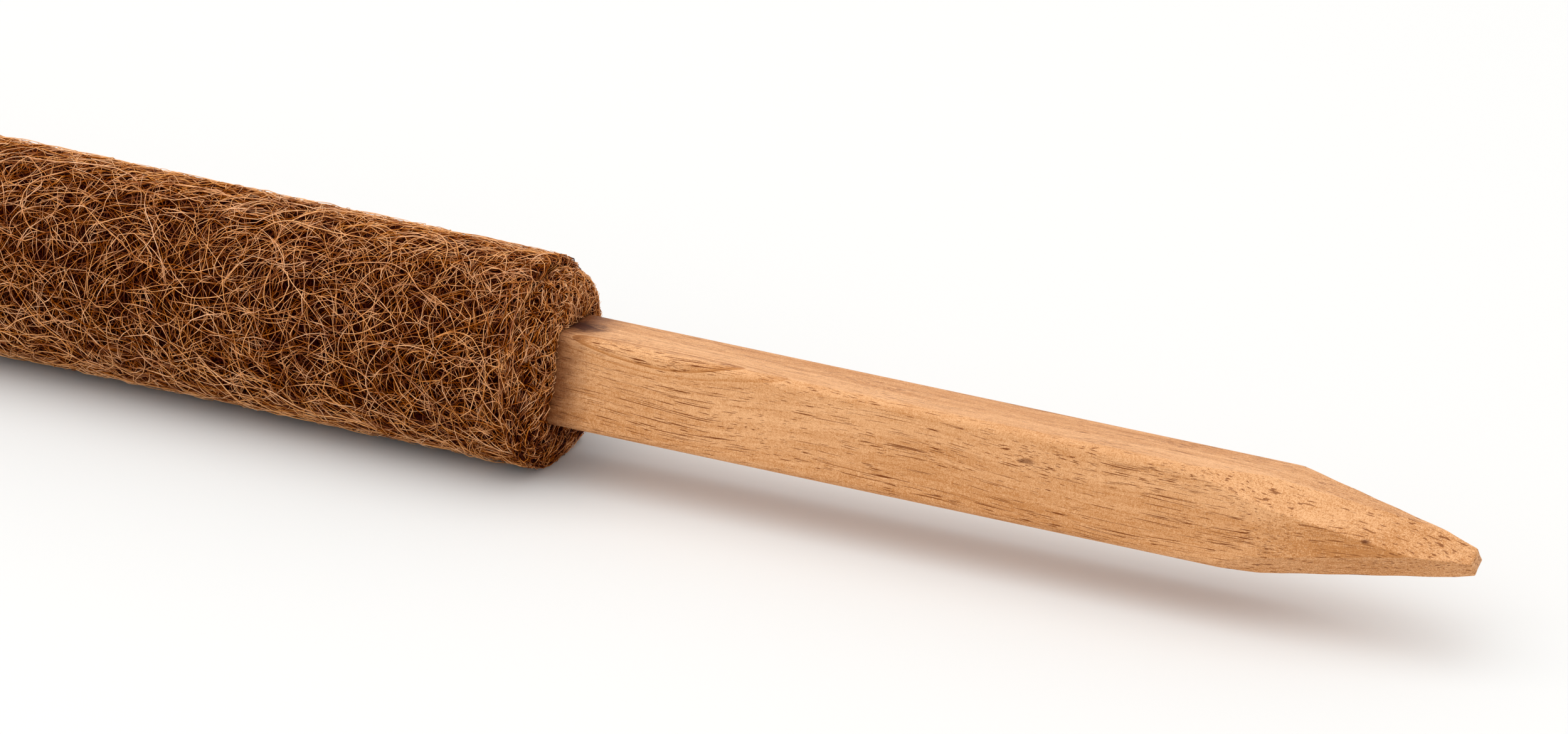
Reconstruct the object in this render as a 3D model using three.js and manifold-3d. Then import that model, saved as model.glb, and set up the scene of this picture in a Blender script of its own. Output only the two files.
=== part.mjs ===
// A pole for climbing plants: a coir-fibre mat rolled round a square wooden stake with a whittled point.
// Millimetres, +Z up. The pole lies on its side along X, with its point towards +X. The origin is on the
// surface that it lies on, at the middle of the bounding box.
import * as THREE from "three";
import { mergeVertices } from "three/addons/utils/BufferGeometryUtils.js";
import Module from "manifold-3d";

// Stake: a rounded square rod. Its point has four cuts on the flats and four longer ones on the corners.
const STAKE_LENGTH = 600;
const STAKE_SIDE = 20;
const STAKE_EDGE_RADIUS = 2;
const STAKE_TURN = -12; // degrees about the pole's axis, so the front face leans up a little
const FLAT_CUT_LENGTH = 45;
const FLAT_CUT_TIP = 4.2; // from the axis to the cut plane, at the tip
const CORNER_CUT_LENGTH = 60;
const CORNER_CUT_TIP = 2;

// Coir mat: one rectangular sheet, wound from an inner edge on the stake to an outer lap edge. Angles are
// in degrees round the axis, from the back (+Y) towards the top (+Z). The winding runs the other way.
const MAT_WIDTH = 385; // along the pole
const MAT_TOP_INSET = 2; // from the stake's top end to the outer turn's end
const MAT_THICKNESS = 2.85;
const FULL_TURNS = 3;
const INNER_EDGE_ANGLE = 50;
const LAP_EDGE_ANGLE = 300;
const REST_ANGLE = 270; // the underside, on which the roll lies
const EDGE_FEATHER = 0.5; // turns over which the mat thins towards each edge
const WINDING_LEAD = 10.2; // how far the first turn stands out past the outer lap, towards the point
const MAT_END_ROUND = 1.2; // bevel on the outer rim of each turn's two ends
const REST_FLAT_DEPTH = 0.5; // how much the roll is flattened where it lies

// Latex strip under the outer lap.
const BOND_WIDTH = 18; // round the roll
const BOND_THICKNESS = 0.6;
const BOND_EDGE_MARGIN = 3; // from the lap edge
const BOND_END_MARGIN = 12; // from each end of the mat

// Wire staples through the mat's inner edge.
const STAPLE_COUNT = 6;
const STAPLE_CROWN = 10;
const STAPLE_WIRE = 0.7;
const STAPLE_WIRE_WIDTH = 1.2;
const STAPLE_BITE = 6; // depth of the legs in the wood
const STAPLE_END_MARGIN = 30;

// Clearances.
const SEAT_CLEARANCE = 0.3; // between pieces that touch
const TURN_GAP = 0.6; // between one turn of the mat and the next

// Fineness of the curves.
const STATION_STEP = 6; // degrees between the mat's stations
const CORNER_SEGMENTS = 5; // on each rounded edge of the stake
const SQUARE_SIDES = 4;
const NEAR_FACETS = 3; // facets looked at on each side when the turns' gap is measured
const MERGE_DISTANCE = 1e-5;

const DEGREE = Math.PI / 180;
const FULL_TURN = 360;
const RIGHT_ANGLE = Math.PI / 2;

// Sizes that follow from the ones above.
const STAKE_HALF = STAKE_SIDE / 2;
const STAKE_CORNER_REACH = (STAKE_HALF - STAKE_EDGE_RADIUS) * Math.SQRT2 + STAKE_EDGE_RADIUS;
const TURNS = FULL_TURNS + turnsBetween(INNER_EDGE_ANGLE, LAP_EDGE_ANGLE);
const REST_TURN = TURNS - turnsBetween(REST_ANGLE, LAP_EDGE_ANGLE);
const LAYERS = TURNS + 1 - 2 * EDGE_FEATHER;
const WINDING_START = (STAKE_HALF + STAKE_CORNER_REACH) / 2 + SEAT_CLEARANCE;
const ROLL_RADIUS = WINDING_START + LAYERS * (MAT_THICKNESS + TURN_GAP) - TURN_GAP;
const STAKE_TOP = -STAKE_LENGTH / 2;
const MAT_TOP = STAKE_TOP + MAT_TOP_INSET;

const wasm = await Module();
wasm.setup();

// A closed geometry as a solid for cutting, with its shared vertices merged.
function toSolid(geometry, placement = new THREE.Matrix4()) {
  const bare = geometry.clone();
  bare.deleteAttribute("normal");
  bare.deleteAttribute("uv");
  bare.applyMatrix4(placement);
  const merged = mergeVertices(bare, MERGE_DISTANCE);
  const vertProperties = Float32Array.from(merged.attributes.position.array);
  const triVerts = Uint32Array.from(merged.index.array);
  return new wasm.Manifold(new wasm.Mesh({ numProp: 3, vertProperties, triVerts }));
}

function toGeometry(solid) {
  const { vertProperties, triVerts } = solid.getMesh();
  const geometry = new THREE.BufferGeometry();
  geometry.setAttribute("position", new THREE.BufferAttribute(vertProperties, 3));
  geometry.setIndex(new THREE.BufferAttribute(triVerts, 1));
  geometry.computeVertexNormals();
  return geometry;
}

// Everything is built with the pole along Z, its back towards X and its top side towards Y.

// Distance from the axis to a rounded square, in the direction that is `angle` from one flat's middle.
function squareReach(angle, half, edgeRadius) {
  const fromFlat = Math.abs(angle - RIGHT_ANGLE * Math.round(angle / RIGHT_ANGLE));
  const centre = half - edgeRadius;
  if (Math.tan(fromFlat) * half <= centre) {
    return half / Math.cos(fromFlat);
  }
  const along = centre * (Math.cos(fromFlat) + Math.sin(fromFlat));
  const across = centre * (Math.cos(fromFlat) - Math.sin(fromFlat));
  return along + Math.sqrt(edgeRadius * edgeRadius - across * across);
}

// The part of a turn that the winding takes from one angle to another.
function turnsBetween(fromAngle, toAngle) {
  return THREE.MathUtils.euclideanModulo(fromAngle - toAngle, FULL_TURN) / FULL_TURN;
}

function angleAt(turn) {
  return (INNER_EDGE_ANGLE - turn * FULL_TURN) * DEGREE;
}

// The face on which the mat lies at a given turn: a spiral that starts on the stake's outline and ends on
// a circle. It stays on the outline, and then on the circle, for the feathered part of a turn.
function seatRadius(turn) {
  const fraction = THREE.MathUtils.clamp((turn - EDGE_FEATHER) / LAYERS, 0, 1);
  const stakeAngle = angleAt(turn) - STAKE_TURN * DEGREE;
  const stake = squareReach(stakeAngle, STAKE_HALF + SEAT_CLEARANCE, STAKE_EDGE_RADIUS + SEAT_CLEARANCE);
  return THREE.MathUtils.lerp(stake, ROLL_RADIUS + TURN_GAP, fraction);
}

// The mat's other face, just under the seat of the turn that covers it.
function coverRadius(turn) {
  return seatRadius(turn + 1) - TURN_GAP;
}

// The first turn is wound straight. The turns over it step back, to the outer lap.
function leadAt(turn) {
  return WINDING_LEAD * (1 - Math.max(turn - 1, 0) / (TURNS - 1));
}

// A solid wound round the axis: `section(turn)` gives its outline at one turn as convex points
// [along the pole, from the axis], in order along the pole on the inner side and back on the outer one.
function woundSolid(fromTurn, toTurn, section) {
  const steps = Math.ceil(((toTurn - fromTurn) * FULL_TURN) / STATION_STEP);
  const corners = section(fromTurn).length;
  const positions = [];
  const triangles = [];
  for (let step = 0; step <= steps; step += 1) {
    const turn = THREE.MathUtils.lerp(toTurn, fromTurn, step / steps);
    const angle = angleAt(turn);
    for (const [along, radius] of section(turn)) {
      positions.push(radius * Math.cos(angle), radius * Math.sin(angle), along);
    }
  }
  for (let step = 0; step < steps; step += 1) {
    for (let corner = 0; corner < corners; corner += 1) {
      const here = step * corners + corner;
      const beside = step * corners + ((corner + 1) % corners);
      triangles.push(here, beside, beside + corners);
      triangles.push(here, beside + corners, here + corners);
    }
  }
  const last = steps * corners;
  for (let corner = 1; corner < corners - 1; corner += 1) {
    triangles.push(0, corner + 1, corner);
    triangles.push(last, last + corner, last + corner + 1);
  }
  const geometry = new THREE.BufferGeometry();
  geometry.setAttribute("position", new THREE.Float32BufferAttribute(positions, 3));
  geometry.setIndex(triangles);
  return geometry;
}

// The mat's section at one turn: a strip as wide as the mat, bevelled on the outer rim of both ends.
function matSection(turn) {
  const inner = seatRadius(turn);
  const outer = coverRadius(turn);
  const top = MAT_TOP + leadAt(turn);
  const tip = top + MAT_WIDTH;
  const bevel = Math.min(MAT_END_ROUND, (outer - inner) / 2);
  return [
    [top, inner],
    [tip, inner],
    [tip, outer - bevel],
    [tip - bevel, outer],
    [top + bevel, outer],
    [top, outer - bevel],
  ];
}

// The strip's section: a thin rectangle in the middle of the gap under the lap, `grow` larger all round.
function bondSection(turn, grow) {
  const middle = seatRadius(turn) - TURN_GAP / 2;
  const half = BOND_THICKNESS / 2 + grow;
  const top = MAT_TOP + leadAt(turn) + BOND_END_MARGIN - grow;
  const tip = MAT_TOP + leadAt(turn) + MAT_WIDTH - BOND_END_MARGIN + grow;
  return [
    [top, middle - half],
    [tip, middle - half],
    [tip, middle + half],
    [top, middle + half],
  ];
}

function bondGeometry(grow) {
  const radius = seatRadius(TURNS);
  const turnsFor = (length) => length / (2 * Math.PI * radius);
  const last = TURNS - turnsFor(BOND_EDGE_MARGIN - grow);
  const first = TURNS - turnsFor(BOND_EDGE_MARGIN + BOND_WIDTH + grow);
  return woundSolid(first, last, (turn) => bondSection(turn, grow));
}

// Staples stand on the first of the stake's flats that the mat's inner edge is wound across. The crown
// fills the gap over the first turn and is pressed into it.
const STAPLE_FLAT = Math.floor((angleAt(0) - STAKE_TURN * DEGREE) / RIGHT_ANGLE);
const STAPLE_ANGLE = STAPLE_FLAT * RIGHT_ANGLE + STAKE_TURN * DEGREE;
const STAPLE_TURN = turnsBetween(INNER_EDGE_ANGLE, STAPLE_ANGLE / DEGREE);
const CROWN_RADIUS = seatRadius(STAPLE_TURN + 1) - SEAT_CLEARANCE;

// A U of flat wire in the plane of the axis, `grow` larger all round.
function stapleGeometry(grow) {
  const outside = STAPLE_CROWN / 2 + grow;
  const inside = STAPLE_CROWN / 2 - STAPLE_WIRE - grow;
  const crownTop = CROWN_RADIUS + grow;
  const crownUnder = CROWN_RADIUS - STAPLE_WIRE - grow;
  const legEnd = STAKE_HALF - STAPLE_BITE - grow;
  const outline = new THREE.Shape();
  outline.moveTo(-outside, crownTop);
  outline.lineTo(-outside, legEnd);
  outline.lineTo(-inside, legEnd);
  outline.lineTo(-inside, crownUnder);
  outline.lineTo(inside, crownUnder);
  outline.lineTo(inside, legEnd);
  outline.lineTo(outside, legEnd);
  outline.lineTo(outside, crownTop);
  outline.closePath();
  const width = STAPLE_WIRE_WIDTH + 2 * grow;
  const geometry = new THREE.ExtrudeGeometry(outline, { depth: width, bevelEnabled: false });
  geometry.translate(0, 0, -width / 2);
  return geometry;
}

function staplePlacements() {
  const alongPole = new THREE.Vector3(0, 0, 1);
  const outwards = new THREE.Vector3(Math.cos(STAPLE_ANGLE), Math.sin(STAPLE_ANGLE), 0);
  const around = new THREE.Vector3().crossVectors(alongPole, outwards);
  const first = MAT_TOP + leadAt(STAPLE_TURN) + STAPLE_END_MARGIN;
  const pitch = (MAT_WIDTH - 2 * STAPLE_END_MARGIN) / (STAPLE_COUNT - 1);
  return Array.from({ length: STAPLE_COUNT }, (_, index) => {
    const placement = new THREE.Matrix4().makeBasis(alongPole, outwards, around);
    return placement.setPosition(0, 0, first + index * pitch);
  });
}

function staplePockets() {
  const pocket = stapleGeometry(SEAT_CLEARANCE);
  return staplePlacements().map((placement) => toSolid(pocket, placement));
}

// A square spike over the whole stake, whose sides cut the point: `tip` from the axis at the stake's tip,
// and `reach` from it where the cut starts, `length` before the tip.
function pointSpike(tip, reach, length, turn) {
  const slope = (reach - tip) / length;
  const topHalf = tip + slope * STAKE_LENGTH;
  const spike = new THREE.CylinderGeometry(
    tip * Math.SQRT2, topHalf * Math.SQRT2, STAKE_LENGTH, SQUARE_SIDES);
  spike.rotateX(RIGHT_ANGLE);
  spike.rotateZ(turn);
  return toSolid(spike);
}

function stakeGeometry() {
  const centre = STAKE_HALF - STAKE_EDGE_RADIUS;
  const outline = new THREE.Shape();
  for (let corner = 0; corner < SQUARE_SIDES; corner += 1) {
    const start = corner * RIGHT_ANGLE;
    const middle = start + RIGHT_ANGLE / 2;
    const x = centre * Math.SQRT2 * Math.cos(middle);
    const y = centre * Math.SQRT2 * Math.sin(middle);
    outline.absarc(x, y, STAKE_EDGE_RADIUS, start, start + RIGHT_ANGLE);
  }
  outline.closePath();
  const rod = new THREE.ExtrudeGeometry(outline, {
    depth: STAKE_LENGTH,
    bevelEnabled: false,
    curveSegments: CORNER_SEGMENTS,
  });
  rod.translate(0, 0, STAKE_TOP);
  const flatCuts = pointSpike(FLAT_CUT_TIP, STAKE_HALF, FLAT_CUT_LENGTH, RIGHT_ANGLE / 2);
  const cornerCuts = pointSpike(CORNER_CUT_TIP, STAKE_CORNER_REACH, CORNER_CUT_LENGTH, 0);
  const pointed = toSolid(rod).intersect(flatCuts).intersect(cornerCuts);
  const turned = pointed.rotate([0, 0, STAKE_TURN]);
  return toGeometry(staplePockets().reduce((stake, pocket) => stake.subtract(pocket), turned));
}

function matGeometry() {
  const floor = new THREE.BoxGeometry(4 * ROLL_RADIUS, 2 * ROLL_RADIUS, 2 * STAKE_LENGTH);
  floor.translate(0, REST_FLAT_DEPTH - coverRadius(REST_TURN) - ROLL_RADIUS, 0);
  const wound = toSolid(woundSolid(0, TURNS, matSection));
  const pockets = [toSolid(floor), toSolid(bondGeometry(SEAT_CLEARANCE)), ...staplePockets()];
  return toGeometry(pockets.reduce((mat, pocket) => mat.subtract(pocket), wound));
}

// The least distance between the cover face of one turn and the seat face of the next, measured from
// each station's point to the straight facets of the next turn.
function leastTurnGap() {
  const pointAt = (turn, radius) => {
    return new THREE.Vector3(radius * Math.cos(angleAt(turn)), radius * Math.sin(angleAt(turn)), 0);
  };
  const seatAt = (turn) => pointAt(turn, seatRadius(turn));
  const step = STATION_STEP / FULL_TURN;
  const foot = new THREE.Vector3();
  let least = Infinity;
  for (let turn = 0; turn <= TURNS - 1; turn += step) {
    const cover = pointAt(turn, coverRadius(turn));
    for (let facet = -NEAR_FACETS; facet < NEAR_FACETS; facet += 1) {
      const from = turn + 1 + facet * step;
      const line = new THREE.Line3(seatAt(from), seatAt(from + step));
      least = Math.min(least, line.closestPointToPoint(cover, true, foot).distanceTo(cover));
    }
  }
  return least;
}

const wood = new THREE.MeshStandardMaterial({ color: 0xd9a26c, roughness: 0.7, metalness: 0 });
const coir = new THREE.MeshStandardMaterial({ color: 0x7a4b28, roughness: 0.95, metalness: 0 });
const latex = new THREE.MeshStandardMaterial({ color: 0xd8c49a, roughness: 0.6, metalness: 0 });
const steel = new THREE.MeshStandardMaterial({ color: 0xb4b8bc, roughness: 0.35, metalness: 1 });

function addPiece(group, name, geometry, material) {
  const piece = new THREE.Mesh(geometry, material);
  piece.name = name;
  group.add(piece);
  return piece;
}

function buildPole() {
  const pole = new THREE.Group();
  addPiece(pole, "stake", stakeGeometry(), wood);
  addPiece(pole, "coir_mat", matGeometry(), coir);
  addPiece(pole, "lap_bond_strip", bondGeometry(0), latex);
  const wire = stapleGeometry(0);
  staplePlacements().forEach((placement, index) => {
    const staple = addPiece(pole, `staple_${index + 1}`, wire, steel);
    staple.applyMatrix4(placement);
  });
  return pole;
}

// Lays the pole down along X on the flattened side of the roll, in the middle of its own box.
function layDown(pole) {
  const lying = new THREE.Group();
  const back = new THREE.Vector3(0, 1, 0);
  const up = new THREE.Vector3(0, 0, 1);
  const forward = new THREE.Vector3(1, 0, 0);
  pole.setRotationFromMatrix(new THREE.Matrix4().makeBasis(back, up, forward));
  lying.add(pole);
  lying.updateMatrixWorld(true);
  const box = new THREE.Box3().setFromObject(lying, true);
  const middle = box.getCenter(new THREE.Vector3());
  pole.position.set(-middle.x, -middle.y, -box.min.z);
  return lying;
}

console.log(`least gap between the mat's turns: ${leastTurnGap().toFixed(2)} mm`);

export default layDown(buildPole());
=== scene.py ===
"""Looks of a climbing pole: a whittled hardwood stake in a roll of coir mat, lying on a pale floor."""

import math
from functools import partial
from typing import NamedTuple

import bpy
import numpy as np
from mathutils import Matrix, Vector


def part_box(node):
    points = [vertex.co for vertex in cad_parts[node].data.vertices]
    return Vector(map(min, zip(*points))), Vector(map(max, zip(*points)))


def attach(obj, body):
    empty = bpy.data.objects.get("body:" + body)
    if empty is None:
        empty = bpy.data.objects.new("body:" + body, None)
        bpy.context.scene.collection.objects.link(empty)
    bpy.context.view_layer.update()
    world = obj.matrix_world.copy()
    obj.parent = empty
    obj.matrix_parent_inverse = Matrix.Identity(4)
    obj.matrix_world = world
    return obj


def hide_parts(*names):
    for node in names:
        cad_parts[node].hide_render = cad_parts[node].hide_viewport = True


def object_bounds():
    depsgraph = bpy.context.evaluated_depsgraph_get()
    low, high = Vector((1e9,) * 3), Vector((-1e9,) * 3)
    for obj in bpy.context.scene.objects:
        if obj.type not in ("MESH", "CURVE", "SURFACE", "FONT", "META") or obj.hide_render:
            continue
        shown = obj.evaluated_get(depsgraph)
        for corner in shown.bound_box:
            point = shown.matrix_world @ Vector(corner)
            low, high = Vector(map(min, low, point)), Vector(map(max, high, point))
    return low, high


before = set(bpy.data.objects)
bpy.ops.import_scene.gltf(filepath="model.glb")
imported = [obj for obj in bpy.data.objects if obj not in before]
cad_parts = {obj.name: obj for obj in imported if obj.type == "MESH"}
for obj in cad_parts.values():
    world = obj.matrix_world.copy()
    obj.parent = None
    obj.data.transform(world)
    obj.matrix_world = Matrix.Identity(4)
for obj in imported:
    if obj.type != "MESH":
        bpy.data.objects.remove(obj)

bl_info = {
    "name": "Coir climbing pole",
    "version": (1, 0, 0),
    "blender": (4, 5, 0),
    "location": "View3D > Sidebar > Coir pole",
    "description": "Builds a whittled stake in a wound coir mat, fibre by fibre",
    "category": "Object",
}

MM = 0.001
BODY = "root"
CAD_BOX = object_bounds()
STAKE_LOW, STAKE_HIGH = (np.array(corner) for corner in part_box("stake"))
AXIS = (STAKE_LOW + STAKE_HIGH) / 2
AXIS_FOOT = np.array([0.0, AXIS[1], AXIS[2]])
FULL_TURN = 2 * math.pi
QUARTER = math.pi / 2
NOISE_MEAN = 0.5

# Sockets of a Mix node that mixes two colours, and its result.
FACTOR = 0
FIRST = 6
SECOND = 7
MIXED = 2


def linear(hex_colour):
    """Linear RGBA of an sRGB hex colour such as #C08040."""
    parts = [int(hex_colour[start:start + 2], 16) / 255 for start in (1, 3, 5)]
    bent = [part / 12.92 if part <= 0.04045 else ((part + 0.055) / 1.055) ** 2.4 for part in parts]
    return (*bent, 1.0)


def size(name, text, millimetres):
    """A length in the sidebar, given here in millimetres."""
    return bpy.props.FloatProperty(name=name, description=text, default=millimetres * MM, unit="LENGTH")


def turn(name, text, degrees):
    """An angle in the sidebar, given here in degrees."""
    return bpy.props.FloatProperty(
        name=name, description=text, default=math.radians(degrees), unit="ROTATION"
    )


def colour(name, text, hex_colour):
    """A colour in the sidebar, given here as sRGB hex."""
    return bpy.props.FloatVectorProperty(
        name=name, description=text, default=linear(hex_colour), size=4, subtype="COLOR"
    )


class StakeSettings(bpy.types.PropertyGroup):
    """Sizes and colours of the whittled stake"""

    side: size("Side", "Width of the stake across its flats", 20)
    edge: size("Edge radius", "Radius of the four long edges", 2)
    facing: turn("Turn", "Angle of the stake round its own axis", -12)
    flat_cut: size("Flat cut", "Length of the four cuts on the flats", 45)
    flat_tip: size("Flat cut at tip", "Distance from the axis to a flat's cut at the tip", 4.2)
    corner_cut: size("Corner cut", "Length of the four cuts on the corners", 60)
    corner_tip: size("Corner cut at tip", "Distance from the axis to a corner's cut at the tip", 2)
    ridge: size("Ridge softness", "How far a whittled ridge is worn round", 0.03)
    pale: colour("Pale wood", "The wood between its rings", "#EDB582")
    warm: colour("Warm wood", "The wood in its darker rings", "#BE7F48")
    pore: colour("Pores", "Open pores along the grain", "#763A0C")
    # The smudge colour also paints shade where the stake goes into the mat.
    smudge_and_shade: colour("Smudge", "Dirt rubbed in beside the mat", "#7C5734")


class MatSettings(bpy.types.PropertyGroup):
    """Sizes and colours of the wound coir mat"""

    width: size("Width", "Width of the mat along the pole", 385)
    top_inset: size("Top inset", "Distance from the stake's top end to the mat", 2)
    turns: bpy.props.FloatProperty(
        name="Turns", description="Turns of the mat round the stake", default=3 + 110 / 360
    )
    start: turn("Inner edge", "Angle of the inner edge, from the back towards the top", 50)
    lead: size("Lead", "How far the first turn stands out of the roll towards the tip", 10.2)
    layer: size("Layer", "Thickness of the mat", 2.85)
    gap: size("Gap", "Gap between the turns", 0.6)
    seat: size("Seat clearance", "Gap between the stake and the mat", 0.3)
    feather: bpy.props.FloatProperty(
        name="Feather", description="Share of a turn over which each edge thins out", default=0.5
    )
    end_round: size("End round", "Radius of the mat's rounded ends", 0.9)
    rim_step: size("Rim step", "How far the dome of the end lies under the outer turn", 2.8)
    fray: size("Fray", "How far the dome lies under the end, to make room for its frayed fibres", 1.3)
    lean: size("Lean", "How far the dome's foot is cut off square, to each side", 1.6)
    lean_side: turn("Lean side", "Angle at which the dome's foot stands out most", 150)
    sink: size("Felt depth", "Depth of the matted felt under the loose fibres", 2.2)
    # The felt's near-black is painted shade in the gaps between the fibres.
    felt: colour("Felt", "The shaded felt between the fibres", "#2C0400")
    dark: colour("Dark fibre", "The darkest fibres", "#3C0600")
    middle: colour("Brown fibre", "The common fibres", "#9C5220")
    light: colour("Light fibre", "The palest fibres", "#F2B078")
    # The glint colour is a painted highlight on the crests of the palest fibres.
    glint: colour("Glint", "The crests of the palest fibres", "#FFC896")
    seed: bpy.props.IntProperty(name="Seed", description="Start of the random draws", default=7)


class StageSettings(bpy.types.PropertyGroup):
    """Place of the camera, and colour of the floor"""

    azimuth: turn("Azimuth", "Where the camera stands, round the pole", 26.65)
    elevation: turn("Elevation", "How high the camera stands", 25.0)
    distance: size("Distance", "Camera to the pole", 5000)
    across: size("Frame width", "Width of the picture at the pole", 322.3)
    from_tip: size("Anchor", "Place on the axis, before the tip, that the picture is hung on", 211.6)
    floor: colour("Floor", "The pale floor", "#E6E6E5")


def fill(node, sockets):
    """Set a node's sockets, or link them to other nodes, in their order or by name or number."""
    for key, value in sockets.items() if isinstance(sockets, dict) else enumerate(sockets):
        if isinstance(value, bpy.types.NodeSocket):
            node.id_data.links.new(value, node.inputs[key])
        else:
            node.inputs[key].default_value = value


def add_node(tree, kind, sockets=(), **settings):
    """Add a shader node with its settings and links, and give its outputs."""
    node = tree.nodes.new("ShaderNode" + kind)
    for name, value in settings.items():
        setattr(node, name, value)
    fill(node, sockets)
    return node.outputs


def new_material(name):
    """A material with a bare Principled shader, the shader, and add_node for the material's tree."""
    material = bpy.data.materials.new(name)
    material.use_nodes = True
    return material, material.node_tree.nodes["Principled BSDF"], partial(add_node, material.node_tree)


def new_piece(name, points, quads, triangles, material, uv=None, values=None):
    """A mesh object at the origin from arrays of points, four-cornered and three-cornered faces."""
    mesh = bpy.data.meshes.new(name)
    mesh.vertices.add(len(points))
    mesh.vertices.foreach_set("co", np.ascontiguousarray(points, np.float32).ravel())
    corners = np.concatenate([quads.ravel(), triangles.ravel()]).astype(np.int32)
    sides = np.concatenate([np.full(len(quads), 4), np.full(len(triangles), 3)])
    starts = np.concatenate([[0], np.cumsum(sides)[:-1]]).astype(np.int32)
    mesh.loops.add(len(corners))
    mesh.loops.foreach_set("vertex_index", corners)
    mesh.polygons.add(len(sides))
    mesh.polygons.foreach_set("loop_start", starts)
    mesh.polygons.foreach_set("use_smooth", np.ones(len(sides), bool))
    if uv is not None:
        layer = mesh.uv_layers.new(name="OFBake")
        layer.uv.foreach_set("vector", np.ascontiguousarray(uv, np.float32).ravel())
    for key, numbers in (values or {}).items():
        attribute = mesh.attributes.new(key, "FLOAT", "POINT")
        attribute.data.foreach_set("value", np.ascontiguousarray(numbers, np.float32).ravel())
    mesh.materials.append(material)
    mesh.validate()
    mesh.update()
    piece = bpy.data.objects.new(name, mesh)
    bpy.context.collection.objects.link(piece)
    return piece


def from_axis(along, angle, out):
    """Vectors with one part along the pole and one out from its axis, at an angle counted from the back
    towards the top."""
    return np.stack([along, out * np.cos(angle), out * np.sin(angle)], axis=-1)


def ring_faces(index):
    """Four-cornered faces between each ring of points and the next, and the point that follows each one on
    its ring, from an array of the points' numbers."""
    following = np.roll(index, -1, axis=-1)
    corners = [index[..., :-1, :], following[..., :-1, :], following[..., 1:, :], index[..., 1:, :]]
    return np.stack(corners, axis=-1).reshape(-1, 4), following


def square_reach(angle, half, edge):
    """Distance from the axis to a round-edged square: half over the cosine on a flat, and on an edge
    the far crossing of the edge's circle."""
    off = np.abs((angle + QUARTER / 2) % QUARTER - QUARTER / 2)
    middle = half - edge
    along = middle * (np.cos(off) + np.sin(off))
    across = middle * (np.cos(off) - np.sin(off))
    on_edge = along + np.sqrt(np.maximum(edge**2 - across**2, 0.0))
    return np.where(np.tan(off) * half <= middle, half / np.cos(off), on_edge)


# How far past the mat's outer edge the loose fibres take to come down its step.
LAP_EASE = 1.6 * MM


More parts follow.
